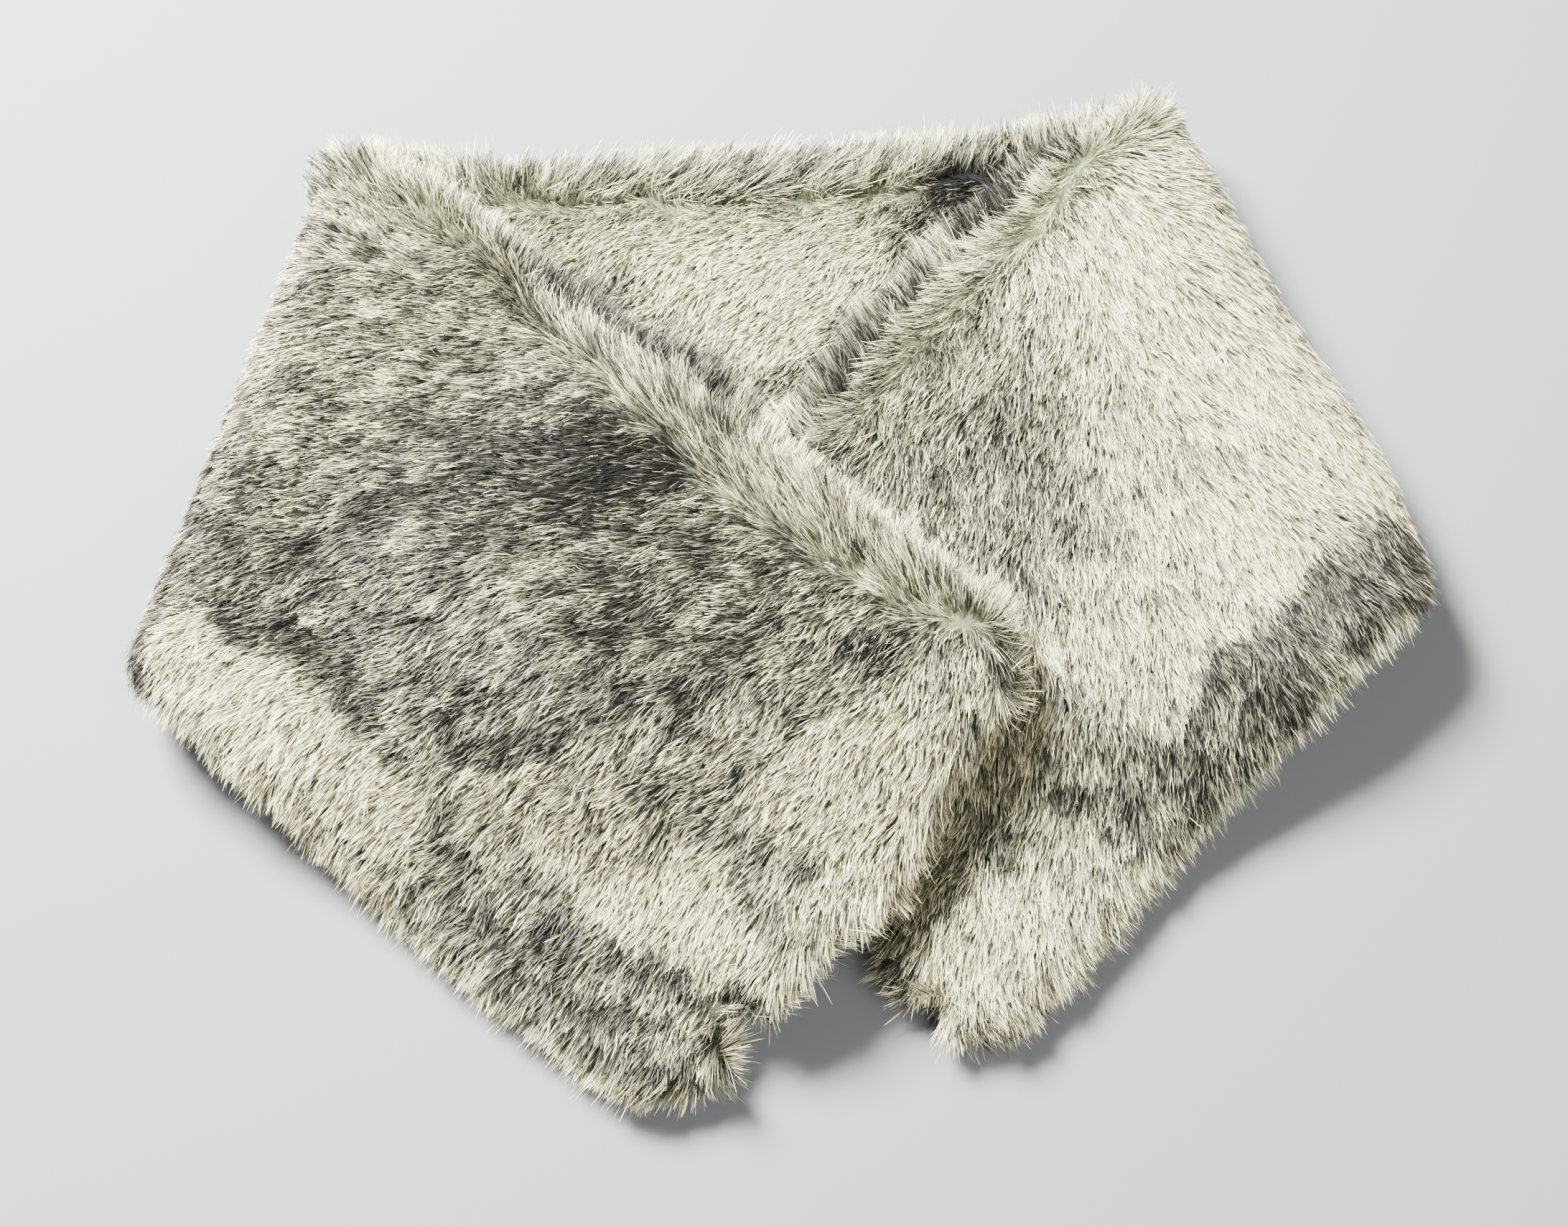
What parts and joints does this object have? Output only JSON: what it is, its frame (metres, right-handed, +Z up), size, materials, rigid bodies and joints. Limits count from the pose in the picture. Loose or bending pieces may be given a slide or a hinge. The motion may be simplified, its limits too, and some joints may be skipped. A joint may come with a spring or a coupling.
{
  "type": "faux fur neck wrap",
  "caption": "Double-faced faux fur neck wrap, laid flat: a wide strip folded over at slanted sides, its left front crossing over its right front.",
  "frame": {"origin": "under the middle of the whole wrap, on the surface that it lies on", "axes": "+Z up, +X to the viewer's right across both folds, +Y away from the viewer towards the back stretch"},
  "size_m": [0.484, 0.405, 0.0613],
  "materials": {
    "outer_fur": "soft cut pile, cream with frosted charcoal mottling and olive grey roots",
    "inner_fur": "soft cut pile, cream with frosted grey patches and olive grey roots"
  },
  "bodies": {
    "root": {"outer_back": "outer_fur", "inner_back": "inner_fur", "outer_left_fold": "outer_fur", "inner_left_fold": "inner_fur", "outer_left_front": "outer_fur", "inner_left_front": "inner_fur", "outer_right_fold": "outer_fur", "inner_right_fold": "inner_fur", "outer_right_front": "outer_fur", "inner_right_front": "inner_fur"}
  },
  "joints": []
}
